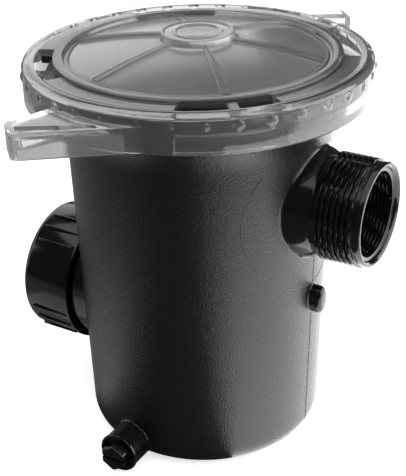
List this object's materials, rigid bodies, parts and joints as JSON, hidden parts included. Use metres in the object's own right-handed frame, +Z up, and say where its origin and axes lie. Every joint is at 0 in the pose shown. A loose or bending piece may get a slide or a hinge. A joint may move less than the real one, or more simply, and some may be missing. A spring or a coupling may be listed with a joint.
{
  "type": "pool pump strainer pot",
  "caption": "Pool pump strainer pot with a clear bayonet lid, lift-out basket, threaded inlet, outlet union and drain plug.",
  "frame": {"origin": "centre of the pot's flat underside", "axes": "+Z up along the pot's axis, +X along the threaded inlet, -X along the outlet union, -Y the way that the drain plug faces"},
  "size_m": [0.2263, 0.261, 0.2455],
  "materials": {
    "pot": "fine pebbled moulding texture, satin black, glossy on the ports",
    "lid": "clear polished moulded plastic",
    "basket": "satin pale grey",
    "union": "polished black",
    "seal": "satin black"
  },
  "bodies": {
    "pot": {"pot_body": "pot", "union_o_ring": "seal"},
    "lid_seal": {"lid_o_ring": "seal"},
    "lid": {"lid": "lid"},
    "basket": {"strainer_basket": "basket"},
    "bail": {"basket_handle": "basket"},
    "tailpiece": {"union_tailpiece": "union"},
    "union_nut": {"union_nut": "union"},
    "drain_seal": {"drain_plug_gasket": "seal"},
    "drain_plug": {"drain_plug": "union"}
  },
  "joints": [
    {"name": "lid_lift", "type": "slide", "parent": "pot", "child": "lid_seal", "axis": [0, 0, 1], "range_m": [0, 0.35]},
    {"name": "lid_turn", "type": "hinge", "parent": "lid_seal", "child": "lid", "pos_m": [0, 0, 0.23], "axis": [0, 0, 1], "range_deg": [-45, 0]},
    {"name": "basket_lift", "type": "slide", "parent": "pot", "child": "basket", "axis": [0, 0, 1], "range_m": [0, 0.21]},
    {"name": "bail_swing", "type": "hinge", "parent": "basket", "child": "bail", "pos_m": [0, 0, 0.2085], "axis": [0, 1, 0], "range_deg": [0, 90]},
    {"name": "union_draw", "type": "slide", "parent": "pot", "child": "tailpiece", "axis": [-1, 0, 0], "range_m": [0, 0.0222]},
    {"name": "union_turn", "type": "hinge", "parent": "tailpiece", "child": "union_nut", "pos_m": [-0.09, 0, 0.0737], "axis": [-1, 0, 0], "range_deg": [0, 1260]},
    {"name": "drain_draw", "type": "slide", "parent": "pot", "child": "drain_seal", "axis": [0, -1, 0], "range_m": [0, 0.018]},
    {"name": "drain_turn", "type": "hinge", "parent": "drain_seal", "child": "drain_plug", "pos_m": [-0.009, -0.088, 0.013], "axis": [0, -1, 0], "range_deg": [0, 2880]}
  ],
  "couplings": [
    {"joint": "basket_lift", "follows": "lid_lift", "ratio": 0.6},
    {"joint": "bail_swing", "follows": "lid_lift", "rad_per_m": 4.4879},
    {"joint": "union_draw", "follows": "union_turn", "m_per_rad": 0.0010095},
    {"joint": "drain_draw", "follows": "drain_turn", "m_per_rad": 0.00035809}
  ]
}
